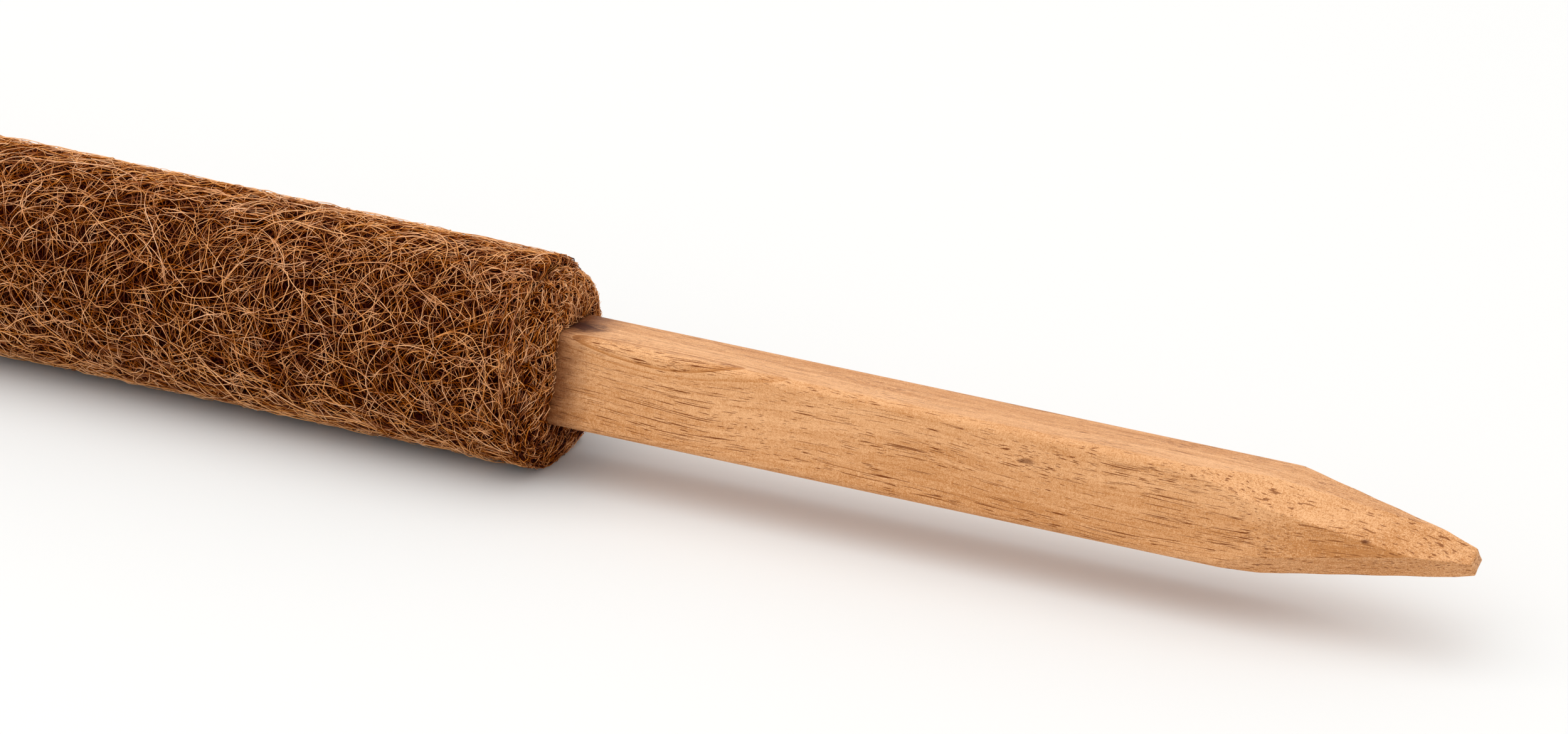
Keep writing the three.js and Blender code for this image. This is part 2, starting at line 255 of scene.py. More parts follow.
class Winding:
    """The mat's spiral. A place on it is a turn, counted from the inner edge, a distance along the
    section's outline from the middle of the outer face, and a height over that outline."""

    def __init__(self, stake, mat):
        self.mat = mat
        self.half = stake.side / 2 + mat.seat
        self.edge = stake.edge + mat.seat
        self.facing = stake.facing
        self.layers = mat.turns + 1 - 2 * mat.feather
        corner = stake.side / 2 * math.sqrt(2) - stake.edge * (math.sqrt(2) - 1)
        mean = (stake.side / 2 + corner) / 2 + mat.seat
        self.radius = mean + self.layers * (mat.layer + mat.gap) - mat.gap
        self.first_end = STAKE_LOW[0] + mat.top_inset
        self.flat = mat.width / 2 - mat.end_round

    def angle(self, turns):
        """Angle round the axis, from the back towards the top."""
        return self.mat.start - FULL_TURN * turns

    def seat(self, turns):
        """Radius of the inner face: the stake's own reach, eased to the roll's radius turn by turn."""
        stake = square_reach(self.angle(turns) - self.facing, self.half, self.edge)
        share = np.clip((turns - self.mat.feather) / self.layers, 0.0, 1.0)
        return stake + (self.radius + self.mat.gap - stake) * share

    def cover(self, turns):
        """Radius of the outer face: the next turn's inner face less the gap."""
        return self.seat(turns + 1) - self.mat.gap

    def middle(self, turns):
        """Place along the pole of the mat's middle line: the first turn is wound straight, and the
        turns over it step back from the tip."""
        stepped = np.maximum(turns - 1, 0.0) / (self.mat.turns - 1)
        return self.first_end + self.mat.lead * (1 - stepped) + self.mat.width / 2

    def round_axis(self, turns, along, radius):
        """Points at a place along the pole and a radius from its axis."""
        return AXIS_FOOT + from_axis(along, self.angle(turns), radius)

    def skin(self, turns, outline, height, cover=None):
        """Points over the section's outline: along the outer face, round the end's first edge, down
        the end, round its second edge and back along the inner face."""
        rim = self.mat.end_round
        cover = self.cover(turns) if cover is None else cover
        straight = np.maximum(cover - self.seat(turns) - 2 * rim, 0.0)
        quarter = rim * QUARTER
        past = np.maximum(np.abs(outline) - self.flat, 0.0)
        down = np.clip(past - quarter, 0.0, straight)
        second = np.clip(past - quarter - straight, 0.0, quarter)
        back = np.maximum(past - 2 * quarter - straight, 0.0)
        bend = np.minimum(past, quarter) / rim + second / rim
        reach = np.minimum(np.abs(outline), self.flat) + (rim + height) * np.sin(bend) - back
        radius = cover - rim + (rim + height) * np.cos(bend) - down
        points = self.round_axis(turns, self.middle(turns) + np.sign(outline) * reach, radius)
        return points, from_axis(np.sign(outline) * np.sin(bend), self.angle(turns), np.cos(bend))

    def dome_sizes(self, turns):
        """The end that faces the tip is a dome, from under the outer turn's rim to the first turn's
        end. Gives the outermost turn, the rim's place along the pole, how far the dome stands out of
        it, the radius of its foot on the stake, and its rise from there to under the rim."""
        outer, cover = self.outer_turn(turns)
        rim = self.middle(outer) + self.mat.width / 2
        step = self.mat.rim_step * np.maximum(np.sin(self.angle(turns)), 0.0) ** 2
        lean = self.mat.lean * (1 - np.cos(self.angle(turns) - self.mat.lean_side))
        reach = self.middle(np.float64(0.0)) + self.mat.width / 2 - self.mat.fray - rim - lean
        foot = square_reach(self.angle(turns) - self.facing, self.half, self.edge)
        return outer, rim, reach, foot, cover - step - foot

    def dome(self, turns, slide, height):
        """Points over the dome, a quarter of an ellipse: slide is 0 under the rim and 1 on the stake,
        and the height is square to the dome."""
        outer, rim, reach, foot, rise = self.dome_sizes(turns)
        bend = QUARTER * np.minimum(slide, 1.0)
        along_part = np.sin(bend) * rise
        out_part = np.cos(bend) * reach
        length = np.hypot(along_part, out_part)
        along_part, out_part = along_part / length, out_part / length
        along = rim + reach * np.sin(bend) + height * along_part
        radius = foot + rise * np.cos(bend) + height * out_part
        outwards = from_axis(along_part, self.angle(outer), out_part)
        return self.round_axis(outer, along, np.maximum(radius, foot)), outwards

    def dome_end(self, turns, radius):
        """Where the dome ends along the pole at a radius."""
        _, rim, reach, foot, rise = self.dome_sizes(turns)
        return rim + reach * np.sqrt(1 - np.clip((radius - foot) / rise, 0.0, 1.0) ** 2)

    def outer_turn(self, turns):
        """The outermost turn under a place that may lie past the lap, and the cover's radius there:
        the step down at the lap is eased over a few millimetres."""
        last = self.mat.turns
        wrapped = last - 1 + (turns - last) % 1.0
        past_lap = (wrapped - last + 1) * FULL_TURN * self.radius
        step = self.cover(np.float64(last)) - self.cover(np.float64(last - 1))
        return wrapped, self.cover(wrapped) + step * np.exp(-past_lap / LAP_EASE)


# The knife's hand: how each of the eight cuts departs from its fellows, in millimetres of length and of
# distance from the axis at the tip. They go from the back flat round by the top, flat and corner in turn.
KNIFE_HAND = ((0, 0), (-16, 0), (0, 0), (0, 0), (0, 0.6), (-6, 0), (0, -0.8), (0, 0))

# A cut bounds the stake only in directions whose cosine to it is over this. Elsewhere it is far away.
CUT_REACH = 0.3
FAR = 1.0


def whittled_radius(stake, from_tip, angle):
    """Radius of the stake: the least of the round-edged square and the eight cuts, each a plane at its
    distance from the axis over the cosine of the angle to it. The least is taken softly, so that the
    ridges are worn round. Gives also which face it is: 0 for the square, or the cut's number."""
    half = stake.side / 2
    corner = half * math.sqrt(2) - stake.edge * (math.sqrt(2) - 1)
    local = angle - stake.facing
    reaches = [np.broadcast_to(square_reach(local, half, stake.edge), (from_tip + angle).shape)]
    for number, (longer, wider) in enumerate(KNIFE_HAND):
        if number % 2 == 0:
            full, tip, length = half, stake.flat_tip, stake.flat_cut
        else:
            full, tip, length = corner, stake.corner_tip, stake.corner_cut
        tip = tip + wider * MM
        away = full - (full - tip) * (1 - from_tip / (length + longer * MM))
        facing = np.cos(local - number * QUARTER / 2)
        reaches.append(np.where(facing > CUT_REACH, away / np.maximum(facing, CUT_REACH), FAR))
    reaches = np.stack(reaches)
    least = reaches.min(axis=0)
    worn = least - stake.ridge * np.log(np.exp((least - reaches) / stake.ridge).sum(axis=0))
    return worn, reaches.argmin(axis=0)


# Rings of points along the stake: close together on the point, far apart on the plain body.
STAKE_SIDES = 384
BODY_STEP = 30 * MM
POINT_STEP = 0.8 * MM
POINT_LENGTH = 66 * MM

# The rim of both ends is worn round: its radius, the rings on it, and how much of it is worn off.
END_ROUND = 0.4 * MM
END_RINGS = np.array([0.0, 0.3, 1.0])
END_WEAR = 0.9

# The knife's shallow waves on the cuts: their length and depth, and how often they sway round the stake.
WHITTLE_WAVE = 11 * MM
WHITTLE_DEPTH = 0.08 * MM
WHITTLE_SWAY = 4

# The front flat's cut is torn. Its number, and the length over which that comes in from the cut's start.
TORN_CUT = 5
TORN_FADE = 20 * MM


def stake_piece(stake, material):
    """The stake as rings of points: radius by whittled_radius over distance from the tip and angle,
    with the knife's shallow waves on the cuts, and both ends closed on a middle point."""
    length = STAKE_HIGH[0] - STAKE_LOW[0]
    ends = END_RINGS * END_ROUND
    body = np.linspace(POINT_LENGTH, length - 2 * END_ROUND, int((length - POINT_LENGTH) / BODY_STEP))
    point = np.linspace(2 * END_ROUND, POINT_LENGTH, int(POINT_LENGTH / POINT_STEP), endpoint=False)
    from_tip = np.concatenate([ends, point, body, length - ends[::-1]])[:, None]
    angle = np.linspace(0.0, FULL_TURN, STAKE_SIDES, endpoint=False)[None, :]
    radius, face = whittled_radius(stake, from_tip, angle)
    uncut = square_reach(angle - stake.facing, stake.side / 2, stake.edge)
    cut = np.clip((uncut - radius) / MM, 0.0, 1.0)
    wave = np.sin(FULL_TURN * from_tip / WHITTLE_WAVE + np.sin(WHITTLE_SWAY * angle))
    radius = radius - WHITTLE_DEPTH * cut * (1 + wave) / 2
    to_end = np.minimum(from_tip, length - from_tip)
    inward = np.clip(1 - to_end / END_ROUND, 0.0, 1.0)
    radius = radius - END_ROUND * (1 - np.sqrt(1 - inward**2)) * END_WEAR
    rings = AXIS_FOOT + from_axis(STAKE_HIGH[0] - from_tip + 0 * angle, angle, radius)
    middles = np.array([[STAKE_HIGH[0], AXIS[1], AXIS[2]], [STAKE_LOW[0], AXIS[1], AXIS[2]]])
    tip_middle = radius.size
    index = np.arange(tip_middle).reshape(radius.shape)
    quads, following = ring_faces(index)
    tip = np.stack([np.full(STAKE_SIDES, tip_middle), index[0], following[0]], axis=-1)
    top = np.stack([np.full(STAKE_SIDES, tip_middle + 1), following[-1], index[-1]], axis=-1)
    points = np.concatenate([rings.reshape(-1, 3), middles])
    torn = np.where(face == TORN_CUT, np.clip((stake.flat_cut - from_tip) / TORN_FADE, 0.0, 1.0), 0.0)
    values = {
        "cut": np.append(cut.ravel(), [1.0, 0.0]),
        "torn": np.append(torn.ravel(), [0.0, 0.0]),
    }
    caps = np.concatenate([tip, top])
    return new_piece("stake_wood", points, quads[:, ::-1], caps, material, values=values)


# The wood's growth rings lie about the stake's upper front edge. Near one place on it they are cut at a
# slant, which draws long nested loops there. Lengths are millimetres in the stake's own frame: along it,
# towards its back flat, and towards its top flat.
LOOP_MIDDLE = (118, -9.6, 9.2)
LOOP_REACH = 60
LOOP_SLANT = 7
RING_STEP = 1.4

# The first ring is one plain eye. The rings' shades are noise along a line at the seed, with a weight in
# the wood's shade, and they darken outwards by a drift for each ring, which is partly painted shade: the
# faces grow darker away from the upper front edge, downwards on the front flat. The mean ring has the
# middle shade.
RING_EYE = 1.1
RING_SEED = 3.3
RING_WEIGHT = 0.7
RING_AND_SHADE_DRIFT = 0.03
MEAN_RING = 9

# Each ring's dark line: how thin it is, its weight in the loops and away from them, and between which rings
# it fades.
LINE_POWER = 3.0
LINE_WEIGHTS = (1.6, 0.12)
LINE_FADE = (2, 3.4)

# The grain's wander: length and width of a wave, and the farthest it goes to a side, in millimetres.
WANDER_CELL = (60, 22)
WANDER = 4

# Patterns in the wood: length and width of a cell in millimetres, and weight in the shade. They are soft
# clouds, broad and fine streaks, sanding marks across the grain, and sandy grit in three sizes.
WOOD_PATTERNS = (
    (45, 9, 0.8),
    (30, 1.6, 0.7),
    (9, 0.36, 0.8),
    (0.45, 5, 0.35),
    (1.6, 0.4, 0.6),
    (0.55, 0.45, 1.0),
    (0.22, 0.2, 2.4),
)
WOOD_CONTRAST = 0.62

# The cuts are furred: size of the fur in millimetres, and its weight in the shade.
CUT_FUZZ = 0.3
CUT_FUZZ_WEIGHT = 2.0

# Open pores: length and width of a cell in millimetres, the noise level over which it shows dark, and
# how dark it is on the planed faces and on the knife's cuts. They are short pores, long ones, a few
# cracks, and the wide mouths of pores that a cut lays open.
PORES = (
    (5, 0.16, 0.715, 0.95, 0.4),
    (16, 0.18, 0.722, 0.95, 0.4),
    (50, 0.2, 0.735, 0.95, 0.3),
    (9, 0.36, 0.68, 0.0, 0.75),
)
PORE_EDGE = 0.07
PORE_DENT = 0.4

# Pores lie in groups: length and width of a group in millimetres, and how much they gather in it. The torn
# cut is darker and has more of them.
PORE_GROUP = (35, 4)
PORE_GROUPING = 0.2
TORN_SHADE = 0.5
TORN_PORES = 0.03

# Stains: place and reach in millimetres, strength, and how ragged they are. They are dirt on the top flat
# beside the mat, dirt and painted shade all round where the stake goes into the mat, and two small bruises
# on the front. The noise that makes them ragged has cells in millimetres, and they fade out between two
# shares of their reach.
STAINS = (
    ((97.0, -2, 10), (7, 6, 3.5), 1.0, 1.0),
    # Dirt and painted shade all round where the stake goes into the mat.
    ((93, 0, 0), (13.0, 40, 40), 0.95, 0.35),
    ((203, -10, 3.9), (2.5, 2, 0.9), 0.7, 1.0),
    ((278.2, -7.3, 1.3), (1.8, 3, 0.7), 0.9, 1.0),
)
STAIN_CELL = (2.5, 1.2)
STAIN_EDGE = (0.2, 1.0)

# The sanded face: size and height of its fuzz, and how strongly it catches the light.
SANDING_CELL = (0.4, 0.4)
SANDING_HEIGHT = 0.3 * MM
SANDING_STRENGTH = 0.35


def cell_noise(add, place, along, across, detail, output="Fac"):
    """Noise over the grain, with cells so many millimetres along it and across it."""
    stretched = add("VectorMath", (place, (1 / along, 1 / across, 1 / across)), operation="MULTIPLY")
    noise = add("TexNoise", {"Vector": stretched[0], "Scale": 1.0, "Detail": detail})
    return noise[output]


def planed_hardwood(stake):
    """Planed pale hardwood, whittled at the point: soft rings with one looped figure, which also paint
    shade down the front, dark open pores along the grain, a sanded matt face, and dirt with painted
    shade where the mat begins."""
    material, shader, add = new_material("planed_pale_hardwood")
    fill(shader, {"IOR": 1.5, "Roughness": 0.5, "Specular IOR Level": 0.12})
    place = add("TexCoord")["Object"]
    own = add(
        "Mapping",
        {"Vector": place, "Location": AXIS, "Rotation": (stake.facing, 0, 0), "Scale": (MM, MM, MM)},
        vector_type="TEXTURE",
    )[0]

    # The grain wanders slowly to the sides along the stake.
    wander = cell_noise(add, own, *WANDER_CELL, detail=1.0, output="Color")
    spread = (0, 2 * WANDER, 2 * WANDER)
    lowest = (0, -WANDER, -WANDER)
    wander = add("VectorMath", (wander, spread, lowest), operation="MULTIPLY_ADD")[0]
    grain = add("VectorMath", (own, wander), operation="ADD")[0]

    # Growth rings: soft bands that darken outwards, partly as painted shade away from the upper front edge,
    # each with a thin dark line at its rim.
    off = add("VectorMath", (grain, LOOP_MIDDLE), operation="SUBTRACT")[0]
    off = add("SeparateXYZ", (off,))
    slanted = LOOP_REACH / LOOP_SLANT
    slant = add("MapRange", (off["X"], -LOOP_REACH, LOOP_REACH, -slanted, slanted))[0]
    ring = add("CombineXYZ", (slant, off["Y"], off["Z"]))[0]
    ring = add("VectorMath", (ring,), operation="LENGTH")["Value"]
    ring = add("Math", (ring, RING_STEP), operation="DIVIDE")[0]
    ring = add("Math", (ring, RING_EYE), operation="MAXIMUM")[0]
    band = add("CombineXYZ", (ring, RING_SEED))[0]
    band = add("TexNoise", {"Vector": band, "Scale": 1.0, "Detail": 2.0})["Fac"]
    line = add("Math", (ring,), operation="FRACT")[0]
    line = add("Math", (line, LINE_POWER), operation="POWER")[0]
    looped = add("MapRange", (ring, *LINE_FADE, *LINE_WEIGHTS))[0]
    shade = add("Math", (ring, RING_AND_SHADE_DRIFT), operation="MULTIPLY")[0]
    shade = add("Math", (line, looped, shade), operation="MULTIPLY_ADD")[0]
    cut = add("Attribute", attribute_name="cut")["Fac"]
    torn = add("Attribute", attribute_name="torn")["Fac"]
    shade = add("Math", (torn, TORN_SHADE, shade), operation="MULTIPLY_ADD")[0]
    layers = [(band, RING_WEIGHT)]
    for along, across, weight in WOOD_PATTERNS:
        layers.append((cell_noise(add, grain, along, across, detail=2.0), weight))
    for layer, weight in layers:
        shade = add("Math", (layer, weight, shade), operation="MULTIPLY_ADD")[0]
    fuzz = cell_noise(add, own, CUT_FUZZ, CUT_FUZZ, detail=1.0)
    fuzz = add("Math", (fuzz, NOISE_MEAN), operation="SUBTRACT")[0]
    fuzz = add("Math", (fuzz, CUT_FUZZ_WEIGHT), operation="MULTIPLY")[0]
    shade = add("Math", (fuzz, cut, shade), operation="MULTIPLY_ADD")[0]
    mean = MEAN_RING * RING_AND_SHADE_DRIFT + sum(weight for _, weight in layers) * NOISE_MEAN
    shade = add("MapRange", (shade, mean - WOOD_CONTRAST, mean + WOOD_CONTRAST))[0]
    wood = add("Mix", {FACTOR: shade, FIRST: stake.pale, SECOND: stake.warm}, data_type="RGBA")[MIXED]

    # Dark pores, which also dent the face.
    dent = 0.0
    group = cell_noise(add, grain, *PORE_GROUP, detail=1.0)
    group = add("Math", (group, NOISE_MEAN), operation="SUBTRACT")[0]
    group = add("Math", (group, PORE_GROUPING), operation="MULTIPLY")[0]
    group = add("Math", (torn, TORN_PORES, group), operation="MULTIPLY_ADD")[0]
    for along, across, level, planed, whittled in PORES:
        pore = cell_noise(add, grain, along, across, detail=0.0)
        pore = add("Math", (pore, group), operation="ADD")[0]
        pore = add("MapRange", (pore, level, level + PORE_EDGE), interpolation_type="SMOOTHSTEP")[0]
        depth = add("MapRange", (cut, 0.0, 1.0, planed, whittled))[0]
        pore = add("Math", (pore, depth), operation="MULTIPLY")[0]
        wood = add("Mix", {FACTOR: pore, FIRST: wood, SECOND: stake.pore}, data_type="RGBA")[MIXED]
        dent = add("Math", (pore, -PORE_DENT, dent), operation="MULTIPLY_ADD")[0]

    # Stains, and the painted shade beside the mat: the distance from each one's middle, made ragged by
    # noise, fades it out.
    ragged = cell_noise(add, own, *STAIN_CELL, detail=3.0)
    for middle, reach, strength, raggedness in STAINS:
        off = add("VectorMath", (own, middle), operation="SUBTRACT")[0]
        off = add("VectorMath", (off, reach), operation="DIVIDE")[0]
        off = add("VectorMath", (off,), operation="LENGTH")["Value"]
        off = add("Math", (ragged, raggedness, off), operation="MULTIPLY_ADD")[0]
        edge = (limit + raggedness * NOISE_MEAN for limit in STAIN_EDGE)
        stain = add("MapRange", (off, *edge, strength, 0.0), interpolation_type="SMOOTHSTEP")[0]
        wood = add(
            "Mix",
            {FACTOR: stain, FIRST: wood, SECOND: stake.smudge_and_shade},
            data_type="RGBA",
            blend_type="MULTIPLY",
        )[MIXED]

    # Sanded fuzz, with the pores sunk in it.
    fuzz = cell_noise(add, own, *SANDING_CELL, detail=2.0)
    height = add("Math", (fuzz, dent), operation="ADD")[0]
    bump = add("Bump", {"Height": height, "Strength": SANDING_STRENGTH, "Distance": SANDING_HEIGHT})
    fill(shader, {"Base Color": wood, "Normal": bump[0]})
    return material


# Mottle along the fibres: its size, the span of its noise, and how far it shifts their tone.
MOTTLE = 3 * MM
MOTTLE_NOISE = (0.3, 0.7)
MOTTLE_SHIFT = (-0.28, 0.18)

# The tones between which a dark fibre turns brown, then light, and then takes a painted glint, a painted
# highlight that only the palest crests reach.
TONE_SPANS = ((0.0, 0.5), (0.5, 1.0), (0.95, 1.35))

# How deep the colour of a fresh fibre is, and of a bleached one.
COLOUR_DEPTHS = (1.12, 0.92)


def coir_fibre(mat):
    """Sun-dried coconut husk fibre: brown to tan hairs, some of them bleached, with a faint waxy gloss and a
    glint painted on the crests of the palest.
    """
    material, shader, add = new_material("sun_dried_coir_fibre")
    tone = add("Attribute", attribute_name="tone")["Fac"]
    place = add("TexCoord")["Object"]
    mottle = add("TexNoise", {"Vector": place, "Scale": 1 / MOTTLE, "Detail": 2.0})
    shift = add("MapRange", (mottle["Fac"], *MOTTLE_NOISE, *MOTTLE_SHIFT))[0]
    tone = add("Math", (tone, shift), operation="ADD")[0]
    brown = mat.dark
    for span, paler in zip(TONE_SPANS, (mat.middle, mat.light, mat.glint)):
        part = add("MapRange", (tone, *span))[0]
        brown = add("Mix", {FACTOR: part, FIRST: brown, SECOND: paler}, data_type="RGBA")[MIXED]
    bleach = add("Attribute", attribute_name="bleach")["Fac"]
    depth = add("MapRange", (bleach, 0.0, 1.0, *COLOUR_DEPTHS))[0]
    brown = add("HueSaturation", {"Saturation": depth, "Color": brown})[0]
    fill(shader, {"Base Color": brown, "IOR": 1.5, "Roughness": 0.4, "Specular IOR Level": 0.04})
    return material


# The felt's tangle: its size, how far it is twisted, the noise over which a strand comes out of the dark,
# and its relief.
TANGLE = 1.2 * MM
TANGLE_TWIST = 1.5
TANGLE_STRAND = (0.5, 0.75)
TANGLE_RELIEF = 0.6 * MM


def needled_felt(mat):
    """The matted heart of the coir: near-black brown, painted shade for the gaps between the fibres, with a
    tangle too deep to make out.
    """
    material, shader, add = new_material("needled_coir_felt")
    fill(shader, {"IOR": 1.5, "Roughness": 0.9, "Specular IOR Level": 0.0})
    place = add("TexCoord")["Object"]
    tangle = add(
        "TexNoise", {"Vector": place, "Scale": 1 / TANGLE, "Detail": 4.0, "Distortion": TANGLE_TWIST}
    )["Fac"]
    strand = add("MapRange", (tangle, *TANGLE_STRAND), interpolation_type="SMOOTHSTEP")[0]
    brown = add("Mix", {FACTOR: strand, FIRST: mat.felt, SECOND: mat.dark}, data_type="RGBA")[MIXED]
    bump = add("Bump", {"Height": tangle, "Strength": 1.0, "Distance": TANGLE_RELIEF})
    fill(shader, {"Base Color": brown, "Normal": bump[0]})
    return material


# Stations of the felt along the spiral, and steps along the pole, which gather towards its ends.
FELT_TURN_STEPS = 240
FELT_ALONG_STEPS = 64
FELT_GATHER = 1.5

# Room that the felt leaves for fibres at the mat's ends and faces, the shares of the thickness that it
# leaves free inside and always reaches, the share of a turn over which it sinks where it lies bare, and how
# square its ends are.
FELT_INSET = 1.2 * MM
FELT_GAP = 0.3 * MM
FELT_FREE = 0.12
FELT_REACH = 0.4
FELT_EASE = 0.04
FELT_END_POWER = 40

# The felt's lumps: their height, and two crossing waves, each with a length along the pole and a twist.
FELT_LUMP = 0.35 * MM
FELT_WAVES = ((7 * MM, 9), (4.3 * MM, -31))


def felt_piece(winding, mat, material):
    """The matted heart of the mat as a spiral sheet: for each turn station an outline of the outer
    face, set in by the fibres' depth, and of the inner face, meeting at rounded ends."""
    turns = np.linspace(mat.turns, 0.0, FELT_TURN_STEPS)[:, None]
    share = np.linspace(-QUARTER, QUARTER, FELT_ALONG_STEPS)[None, :]
    flatten = np.sign(share) * (1 - (1 - np.abs(share) / QUARTER) ** FELT_GATHER)
    thickness = winding.cover(turns) - winding.seat(turns)
    inner = winding.seat(turns) + FELT_FREE * thickness
    bare = np.clip((turns - mat.turns + 1 + FELT_EASE) / FELT_EASE, 0.0, 1.0)
    outer = winding.cover(turns) - FELT_GAP - mat.sink * bare
    outer = np.maximum(outer, winding.seat(turns) + FELT_REACH * thickness)
    under_dome = winding.dome_end(turns, outer) - winding.middle(turns) - FELT_INSET
    top_reach = mat.width / 2 - FELT_INSET
    along = flatten * np.where(share > 0, np.minimum(under_dome, top_reach), top_reach)
    ends = np.sqrt(np.maximum(1 - flatten**FELT_END_POWER, 0.0))
    centre = (inner + outer) / 2
    lump = FELT_LUMP
    for length, twist in FELT_WAVES:
        lump = lump * np.sin(along / length + twist * turns)
    outer_radius = centre + (outer - centre + lump) * ends
    inner_radius = centre + (inner - centre) * ends
    middle = winding.middle(turns)
    outside = winding.round_axis(turns + 0 * along, middle + along, outer_radius)
    inside = winding.round_axis(turns + 0 * along, middle + along, inner_radius)
    loop = np.concatenate([outside, inside[:, -2:0:-1]], axis=1)
    stations, around = loop.shape[:2]
    index = np.arange(stations * around).reshape(stations, around)
    quads, _ = ring_faces(index)
    steps = np.arange(1, FELT_ALONG_STEPS - 2)
    across = np.stack([steps, steps + 1, around - steps - 1, around - steps], axis=-1)
    first = index[0][across][:, ::-1]
    last = index[-1][across]
    far = FELT_ALONG_STEPS - 1
    end_steps = np.array([[0, 1, around - 1], [far - 1, far, far + 1]])
    triangles = np.concatenate([index[0][end_steps][:, ::-1], index[-1][end_steps]])
    return new_piece(
        "coir_felt", loop.reshape(-1, 3), np.concatenate([quads, first, last]), triangles, material
    )


# A fibre's tone is painted paler along its crest than its middle tone by a share, and darker on its
# flanks: painted highlight and painted shade across the fibre. Steps of the golden section spread the
# bleaching evenly over the fibres. A direction shorter than the least one isn't stretched to a whole one.
FIBRE_SIDES = 3
CREST_SHADING = 0.5
GOLDEN_SHARE = 0.618
FLOOR_CLEARANCE = 0.02 * MM
LEAST_DIRECTION = 1e-6

# A fibre's cell of the UV map: how much of its strip a side fills, and the rows of the two caps.
STRIP_FILL = 0.9
CAP_ROWS = np.array([[0, 0, 0.3], [0.5, 0.5, 0.8]])


def fibre_piece(name, paths, outwards, radius, tone, material):
    """Closed three-sided tubes along many paths at once: each ring is the path's point plus its
    radius times two directions square to the path, and both ends are capped. Each fibre has its own
    cell of the UV map, with one strip for each side and one for the caps. A fibre's tone is paler
    along its crest and darker on its flanks, as a painted highlight and painted shade."""
    fibres, steps = paths.shape[:2]
    tangent = np.gradient(paths, axis=1)
    tangent /= np.linalg.norm(tangent, axis=-1, keepdims=True)
    up = outwards - (outwards * tangent).sum(-1, keepdims=True) * tangent
    up /= np.maximum(np.linalg.norm(up, axis=-1, keepdims=True), LEAST_DIRECTION)
    aside = np.cross(tangent, up)
    around = np.arange(FIBRE_SIDES) * FULL_TURN / FIBRE_SIDES
    spread = (
        np.cos(around)[:, None] * up[:, :, None, :] + np.sin(around)[:, None] * aside[:, :, None, :]
    )
    points = paths[:, :, None, :] + radius[:, :, None, None] * spread
    points[..., 2] = np.maximum(points[..., 2], CAD_BOX[0][2] + FLOOR_CLEARANCE)
    index = np.arange(fibres * steps * FIBRE_SIDES).reshape(fibres, steps, FIBRE_SIDES)
    quads, _ = ring_faces(index)
    caps = np.stack([index[:, 0, ::-1], index[:, -1]], axis=1).reshape(-1, 3)

    cells = math.ceil(math.sqrt(fibres))
    corner = np.stack([np.arange(fibres) % cells, np.arange(fibres) // cells], axis=-1)
    strip = np.arange(FIBRE_SIDES) / (FIBRE_SIDES + 1)
    wide = STRIP_FILL / (FIBRE_SIDES + 1)
    rise = np.arange(steps - 1) / steps
    tall = 1 / steps
    u = strip[:, None] + np.array([0, wide, wide, 0])
    v = rise[:, None, None] + np.array([0, 0, tall, tall])
    cap_u = FIBRE_SIDES / (FIBRE_SIDES + 1) + np.array([0, wide, wide])
    side_uv = corner[:, None, None, None, :] + np.stack(np.broadcast_arrays(u, v), axis=-1)
    cap_uv = corner[:, None, None, :] + np.stack(np.broadcast_arrays(cap_u, CAP_ROWS), axis=-1)
    uv = np.concatenate([side_uv.reshape(-1, 2), cap_uv.reshape(-1, 2)]) / cells
    bleach = np.arange(fibres) * GOLDEN_SHARE % 1.0
    values = {
        # Painted highlight along each fibre's crest and painted shade on its flanks.
        "tone": tone[:, :, None] * (1 + CREST_SHADING * np.cos(around)),
        "bleach": np.broadcast_to(bleach[:, None, None], index.shape),
    }
    return new_piece(name, points.reshape(-1, 3), quads, caps, material, uv, values)


# Bends of a fibre, as shares of one over its curl's radius: a steady one, and one that swells so many
# times along it. It also kinks by a small angle at each step.
STEADY_BEND = 0.7
SWELLING_BEND = 0.9
SWELLS = (0.6, 3.0)
KINK = 0.14

# The share of the fibres that lie round the pole, and how far they stray from that, in radians.
ROUND_SHARE = 0.4
ROUND_STRAY = 0.5


def curled_walk(rng, fibres, steps, length, curl):
    """Paths of fibres on a flat sheet: the heading turns at a rate of one over the curl's radius,
    swelling and easing along the fibre, and the steps add up along it. Gives the two distances from
    the fibre's middle, and the share of the length, at each step."""
    share = np.linspace(0.0, 1.0, steps)[None, :]
    step = length[:, None] / (steps - 1)
    steady = rng.normal(0.0, STEADY_BEND, (fibres, 1)) / curl
    swell = rng.normal(0.0, SWELLING_BEND, (fibres, 1)) / curl
    rate = rng.uniform(*SWELLS, (fibres, 1))
    phase = rng.uniform(0.0, FULL_TURN, (fibres, 1))
    kink = rng.normal(0.0, KINK, (fibres, steps)) / step
    bend = steady + swell * np.sin(FULL_TURN * rate * share + phase) + kink
    heading = rng.uniform(0.0, FULL_TURN, fibres)
    round_the_pole = rng.normal(QUARTER, ROUND_STRAY, fibres)
    heading = np.where(rng.uniform(0.0, 1.0, fibres) < ROUND_SHARE, round_the_pole, heading)
    facing = heading[:, None] + np.cumsum(bend * step, axis=1)
    first = np.cumsum(np.cos(facing) * step, axis=1)
    second = np.cumsum(np.sin(facing) * step, axis=1)
    middle = steps // 2
    return first - first[:, middle:middle + 1], second - second[:, middle:middle + 1], share


# How far a fibre swings over and under its neighbours, how often, and how suddenly its ends dive.
WEAVE_SWING = (0.1, 0.45)
WEAVES = (0.8, 2.6)
DIVE_POWER = 5


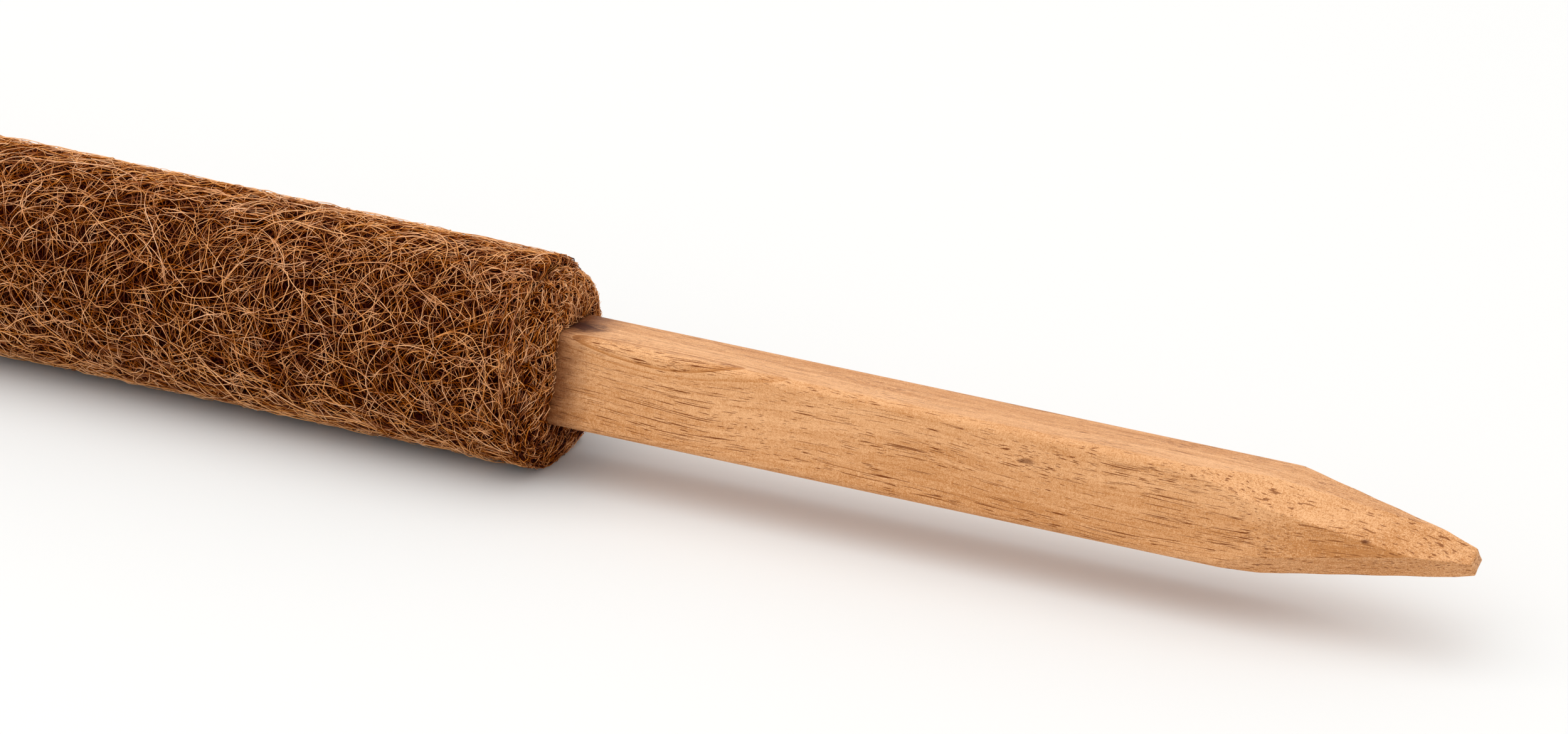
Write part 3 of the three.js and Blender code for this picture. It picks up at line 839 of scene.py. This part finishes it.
def weave_height(rng, fibres, share, low, high, dive):
    """Height along a fibre: its own level, a slow wave over and under its neighbours, and both ends
    dipping into the mat, or standing out of it where the dive is negative."""
    level = rng.uniform(low, high, (fibres, 1))
    swing = rng.uniform(*WEAVE_SWING, (fibres, 1)) * MM
    rate = rng.uniform(*WEAVES, (fibres, 1))
    phase = rng.uniform(0.0, FULL_TURN, (fibres, 1))
    wave = swing * np.sin(FULL_TURN * rate * share + phase)
    return level + wave - dive * np.abs(2 * share - 1) ** DIVE_POWER


# The spread of girths between thin and thick, and how much and how suddenly a fibre tapers.
GIRTH_SPREAD = (1.3, 2.6)
TAPER = 0.55
TAPER_POWER = 4


def fibre_radius(rng, fibres, share, thin, thick):
    """Radius along a fibre: most are thin, a few are thick, and each tapers at both ends."""
    girth = thin + (thick - thin) * rng.beta(*GIRTH_SPREAD, (fibres, 1))
    return girth / 2 * (1 - TAPER * np.abs(2 * share - 1) ** TAPER_POWER)


TONE_SPREAD = 0.13


def depth_shaded_tone(rng, height, low, high, dull, bright):
    """Tone along fibres: it grows with the height over the mat, from dull to bright, which paints the
    shade of the fibres above onto the lower ones, and each fibre is a little paler or darker than its
    height says."""
    own = rng.normal(0.0, TONE_SPREAD, (len(height), 1))
    return np.clip(dull + (bright - dull) * (height - low) / (high - low) + own, 0.0, 1.0)


# Steps that fill a square evenly, one share for each side.
EVEN_STEPS = np.array([0.7549, 0.5698])


def even_spread(rng, fibres):
    """Two shares for each fibre, from zero to one: even steps from a random start leave no bald place."""
    start = rng.uniform(0.0, 1.0, 2)
    spread = (start + np.arange(fibres)[:, None] * EVEN_STEPS) % 1.0
    return spread[:, :1], spread[:, 1:]


class Layer(NamedTuple):
    """A layer of loose fibres, with lengths in millimetres: how many they are, their steps, shortest and
    longest, curl radius, lowest and highest level over the surface, dive of the ends, thinnest and thickest,
    span of tones, and how much painted shade darkens them near the ground."""

    fibres: int
    steps: int
    length: tuple
    curl: float
    level: tuple
    dive: float
    girth: tuple
    tone: tuple
    shade_near_ground: float = 0.0


# The height over the ground up to which the fibres of the roll's end are darkened as painted shade, and by
# how much.
GROUND_SHADE_RISE = 26 * MM
GROUND_SHADE = 0.28

# Layers of the outer face, with the number of pieces of each, then those of the dome and of both rims.
# The low tone spans of the deeper layers are painted shade too, deep in the mat.
FACE_LAYERS = {
    "coir_deep": (Layer(2000, 8, (20, 40), 14, (-2.4, -1.6), 0.3, (0.3, 0.44), (0.0, 0.08)), 1),
    "coir_under": (Layer(3400, 7, (12, 28), 9, (-1.6, -0.6), 0.4, (0.16, 0.34), (-0.1, 0.22)), 3),
    "coir_top": (Layer(3850, 9, (11, 30), 7, (-0.7, 0.05), 0.7, (0.13, 0.29), (0.08, 0.82)), 5),
    "coir_strands": (Layer(340, 28, (30, 70), 10, (-0.2, 0.2), 1.4, (0.2, 0.33), (0.5, 0.8)), 1),
}
DOME_LAYERS = {
    "coir_dome_deep": Layer(1000, 8, (8, 18), 12, (-2.0, -1.0), 0.2, (0.2, 0.36), (0.0, 0.15), GROUND_SHADE),
    "coir_dome_top": Layer(1300, 9, (6, 16), 7, (-0.9, 0.0), 0.5, (0.15, 0.3), (-0.1, 0.66), GROUND_SHADE),
    "coir_dome_fray": Layer(600, 7, (4, 10), 6, (-0.8, -0.2), -0.4, (0.14, 0.28), (0.05, 0.9), GROUND_SHADE),
}
TIP_RIM_LAYER = Layer(250, 11, (9, 26), 12, (-1.0, 0.1), 0.5, (0.16, 0.34), (0.05, 0.6))
TOP_END_LAYER = TIP_RIM_LAYER._replace(fibres=2200, steps=9)


def layer_walk(rng, layer):
    """Paths of a layer's fibres on a flat sheet, as curled_walk gives them."""
    length = rng.uniform(*layer.length, layer.fibres) * MM
    return curled_walk(rng, layer.fibres, layer.steps, length, layer.curl * MM)


def layer_piece(name, rng, layer, share, surface, material):
    """A layer's fibres over a surface, which gives points and directions outwards for their heights."""
    low, high = (level * MM for level in layer.level)
    height = weave_height(rng, layer.fibres, share, low, high, layer.dive * MM)
    paths, outwards = surface(height)
    radius = fibre_radius(rng, layer.fibres, share, *(girth * MM for girth in layer.girth))
    tone = depth_shaded_tone(rng, height, low, high, *layer.tone)
    # Painted shade: the fibres darken towards the ground, up to a height.
    shade_near_ground = layer.shade_near_ground * np.clip(1 - paths[..., 2] / GROUND_SHADE_RISE, 0.0, 1.0)
    return fibre_piece(name, paths, outwards, radius, tone - shade_near_ground, material)


def face_fibres(name, rng, winding, layer, material):
    """Fibres of one layer on the roll's outer face, laid every way at random."""
    along, across, share = layer_walk(rng, layer)
    lengthwise, round_share = even_spread(rng, layer.fibres)
    outline = along + (2 * lengthwise - 1) * (winding.mat.width / 2 + winding.mat.end_round)
    turns, cover = winding.outer_turn(across / (FULL_TURN * winding.radius) + round_share)
    surface = partial(winding.skin, turns, outline, cover=cover)
    return layer_piece(name, rng, layer, share, surface, material)


# The dome's mean arc from rim to stake, its mean radius, and the share of the arc by which fibres overlap
# its rim.
DOME_ARC = 14 * MM
DOME_RADIUS = 16 * MM
DOME_LAP = 0.15


def dome_fibres(name, rng, winding, layer, material):
    """Fibres of one layer over the dome at the end that faces the tip, laid every way at random."""
    down, across, share = layer_walk(rng, layer)
    downwards, round_share = even_spread(rng, layer.fibres)
    slide = (1 + DOME_LAP) * downwards - DOME_LAP + down / DOME_ARC
    turns = across / (FULL_TURN * DOME_RADIUS) + round_share
    surface = partial(winding.dome, turns, slide)
    return layer_piece(name, rng, layer, share, surface, material)


# Where the fibres of an end lie: millimetres past the edge of the outer face, and an exponent under one,
# which gathers them on the outer turns. The two ends are told apart by sign.
END_SPAN = (-4.5, 3.0)
END_GATHER = 0.8
TIP_SIDE = 1.0
TOP_SIDE = -1.0


def end_fibres(name, rng, winding, layer, side, first_turn, material):
    """Curly fibres round the edges of the turns at one end of the roll, from a first turn outwards."""
    last_turn = winding.mat.turns
    along, across, share = layer_walk(rng, layer)
    outline = side * (winding.flat + rng.uniform(*END_SPAN, (layer.fibres, 1)) * MM + along)
    spread = rng.uniform(0.0, 1.0, (layer.fibres, 1)) ** END_GATHER
    start = first_turn + spread * (last_turn - first_turn)
    turns = np.clip(start + across / (FULL_TURN * winding.cover(start)), first_turn, last_turn)
    surface = partial(winding.skin, turns, outline)
    return layer_piece(name, rng, layer, share, surface, material)


# The fixings: colours and blisters of the latex, and colours, crystals and roughness of the zinc.
LATEX_AMBER = linear("#C9A468")
LATEX_MILK = linear("#E6D2A2")
BLISTER = 2 * MM
BLISTER_RELIEF = 0.2 * MM
ZINC_DARK = linear("#A9ADB0")
ZINC_LIGHT = linear("#C4C8CA")
SPANGLE = 0.8 * MM
ZINC_ROUGHNESS = (0.3, 0.5)


def cured_latex():
    """Sprayed latex, cured: milky amber, slightly blistered and soft in its gloss."""
    material, shader, add = new_material("cured_latex")
    place = add("TexCoord")["Object"]
    blister = add("TexNoise", {"Vector": place, "Scale": 1 / BLISTER, "Detail": 2.0})["Fac"]
    milk = add("Mix", {FACTOR: blister, FIRST: LATEX_AMBER, SECOND: LATEX_MILK}, data_type="RGBA")[MIXED]
    bump = add("Bump", {"Height": blister, "Strength": 0.4, "Distance": BLISTER_RELIEF})
    fill(shader, {"Base Color": milk, "Normal": bump[0], "IOR": 1.52, "Roughness": 0.4})
    return material


def galvanised_wire():
    """Drawn steel wire, galvanised: grey zinc with a cloudy spangle."""
    material, shader, add = new_material("galvanised_steel_wire")
    place = add("TexCoord")["Object"]
    spangle = add("TexVoronoi", {"Vector": place, "Scale": 1 / SPANGLE})["Distance"]
    zinc = add("Mix", {FACTOR: spangle, FIRST: ZINC_DARK, SECOND: ZINC_LIGHT}, data_type="RGBA")[MIXED]
    dull = add("MapRange", (spangle, 0.0, 1.0, *ZINC_ROUGHNESS))[0]
    fill(shader, {"Base Color": zinc, "Metallic": 1.0, "Roughness": dull})
    return material


class COIR_POLE_OT_stake(bpy.types.Operator):
    """Build the whittled stake"""

    bl_idname = "coir_pole.stake"
    bl_label = "Stake"

    def execute(self, context):
        stake = context.scene.pole_stake
        piece = stake_piece(stake, planed_hardwood(stake))
        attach(piece, BODY)
        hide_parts("stake")
        return {"FINISHED"}


class COIR_POLE_OT_mat(bpy.types.Operator):
    """Build the wound coir mat, its felt and its fibres"""

    bl_idname = "coir_pole.mat"
    bl_label = "Coir mat"

    def execute(self, context):
        mat = context.scene.pole_mat
        winding = Winding(context.scene.pole_stake, mat)
        rng = np.random.default_rng(mat.seed)
        felt = felt_piece(winding, mat, needled_felt(mat))
        hair = coir_fibre(mat)
        loose = []
        for name, (layer, pieces) in FACE_LAYERS.items():
            for number in range(1, pieces + 1):
                loose.append(face_fibres(f"{name}_{number}", rng, winding, layer, hair))
        for name, layer in DOME_LAYERS.items():
            loose.append(dome_fibres(name, rng, winding, layer, hair))
        outer_turn = mat.turns - 1
        loose.append(end_fibres("coir_tip_rim", rng, winding, TIP_RIM_LAYER, TIP_SIDE, outer_turn, hair))
        loose.append(end_fibres("coir_top_end", rng, winding, TOP_END_LAYER, TOP_SIDE, 0.0, hair))
        for piece in (felt, *loose):
            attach(piece, BODY)
            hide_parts("coir_mat")
        stations = np.linspace(0.0, mat.turns, FELT_TURN_STEPS)
        cut_length = float(np.mean(winding.cover(stations) + winding.seat(stations)) / 2)
        cut_length *= FULL_TURN * mat.turns
        return {"FINISHED"}


class COIR_POLE_OT_fixings(bpy.types.Operator):
    """Finish the latex strip under the lap and the staples in the stake"""

    bl_idname = "coir_pole.fixings"
    bl_label = "Fixings"

    def execute(self, context):
        latex = cured_latex()
        wire = galvanised_wire()
        for name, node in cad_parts.items():
            if name == "lap_bond_strip":
                finish = latex
            elif name.startswith("staple"):
                finish = wire
            else:
                continue
            node.data.materials.clear()
            node.data.materials.append(finish)
        return {"FINISHED"}


# The picture's size, and where the anchor on the pole's axis lies in it, in pixels.
PICTURE = (2500, 1170)
ANCHOR_PIXEL = (869, 580)

# The camera's sensor in millimetres, how far it sees, and the floor's width.
SENSOR_WIDTH = 36
CLIP_END = 100
FLOOR_SPAN = 6.0

# One broad soft light overhead, a little to the left and in front, and an even white sky.
KEY_PLACE = (-0.3, -0.3, 2.0)
KEY_WIDTH = 3.0
KEY_POWER = 32
KEY_TINT = (1.0, 0.99, 0.97)
SKY_STRENGTH = 0.85


class COIR_POLE_OT_stage(bpy.types.Operator):
    """Set the floor, the lights and the camera"""

    bl_idname = "coir_pole.stage"
    bl_label = "Stage"

    def execute(self, context):
        scene = context.scene
        stage = scene.pole_stage
        half = FLOOR_SPAN / 2
        corners = np.array([[-half, -half, 0], [half, -half, 0], [half, half, 0], [-half, half, 0]])
        card, shader, _ = new_material("matt_white_card")
        fill(shader, {"Base Color": stage.floor, "Roughness": 0.9})
        no_triangles = np.empty((0, 3), int)
        floor = new_piece("floor", corners, np.array([[0, 1, 2, 3]]), no_triangles, card)

        flat = math.cos(stage.elevation)
        back = Vector(
            (math.sin(stage.azimuth) * flat, -math.cos(stage.azimuth) * flat, math.sin(stage.elevation))
        )
        right = Vector((math.cos(stage.azimuth), math.sin(stage.azimuth), 0))
        up = back.cross(right)
        pixel = stage.across / PICTURE[0]
        target = Vector((STAKE_HIGH[0] - stage.from_tip, AXIS[1], AXIS[2]))
        target = target + right * (PICTURE[0] / 2 - ANCHOR_PIXEL[0]) * pixel
        target = target - up * (PICTURE[1] / 2 - ANCHOR_PIXEL[1]) * pixel
        lens = bpy.data.cameras.new("camera")
        lens.sensor_width = SENSOR_WIDTH
        lens.lens = SENSOR_WIDTH * stage.distance / stage.across
        lens.clip_end = CLIP_END
        camera = bpy.data.objects.new("camera", lens)
        camera.location = target + back * stage.distance
        camera.rotation_euler = back.to_track_quat("Z", "Y").to_euler()
        context.collection.objects.link(camera)
        scene.camera = camera

        light = bpy.data.lights.new("key", "AREA")
        light.shape = "SQUARE"
        light.size = KEY_WIDTH
        light.energy = KEY_POWER
        light.color = KEY_TINT
        key = bpy.data.objects.new("key", light)
        key.location = KEY_PLACE
        key.rotation_euler = (target - key.location).to_track_quat("-Z", "Y").to_euler()
        context.collection.objects.link(key)
        world = bpy.data.worlds.new("studio")
        world.use_nodes = True
        sky = world.node_tree.nodes["Background"]
        fill(sky, {"Color": (1.0, 1.0, 1.0, 1.0), "Strength": SKY_STRENGTH})
        scene.world = world
        scene.view_settings.view_transform = "Standard"
        return {"FINISHED"}


class COIR_POLE_PT_panel(bpy.types.Panel):
    """Lists the pole's pieces and their sizes"""

    bl_idname = "COIR_POLE_PT_panel"
    bl_label = "Coir pole"
    bl_space_type = "VIEW_3D"
    bl_region_type = "UI"
    bl_category = "Coir pole"

    def draw(self, context):
        for operator, group in OPERATORS:
            self.layout.operator(operator.bl_idname)
            settings = getattr(context.scene, group, None) if group else None
            for name in settings.__annotations__ if settings else ():
                self.layout.prop(settings, name)


OPERATORS = (
    (COIR_POLE_OT_stake, "pole_stake"),
    (COIR_POLE_OT_mat, "pole_mat"),
    (COIR_POLE_OT_fixings, None),
    (COIR_POLE_OT_stage, "pole_stage"),
)
GROUPS = {"pole_stake": StakeSettings, "pole_mat": MatSettings, "pole_stage": StageSettings}
CLASSES = (*GROUPS.values(), *(operator for operator, _ in OPERATORS), COIR_POLE_PT_panel)


def register():
    for each in CLASSES:
        bpy.utils.register_class(each)
    for name, group in GROUPS.items():
        setattr(bpy.types.Scene, name, bpy.props.PointerProperty(type=group))


def unregister():
    for name in GROUPS:
        delattr(bpy.types.Scene, name)
    for each in reversed(CLASSES):
        bpy.utils.unregister_class(each)


def main():
    register()
    bpy.ops.coir_pole.stake()
    bpy.ops.coir_pole.mat()
    bpy.ops.coir_pole.fixings()
    bpy.ops.coir_pole.stage()


if __name__ == "__main__":
    main()
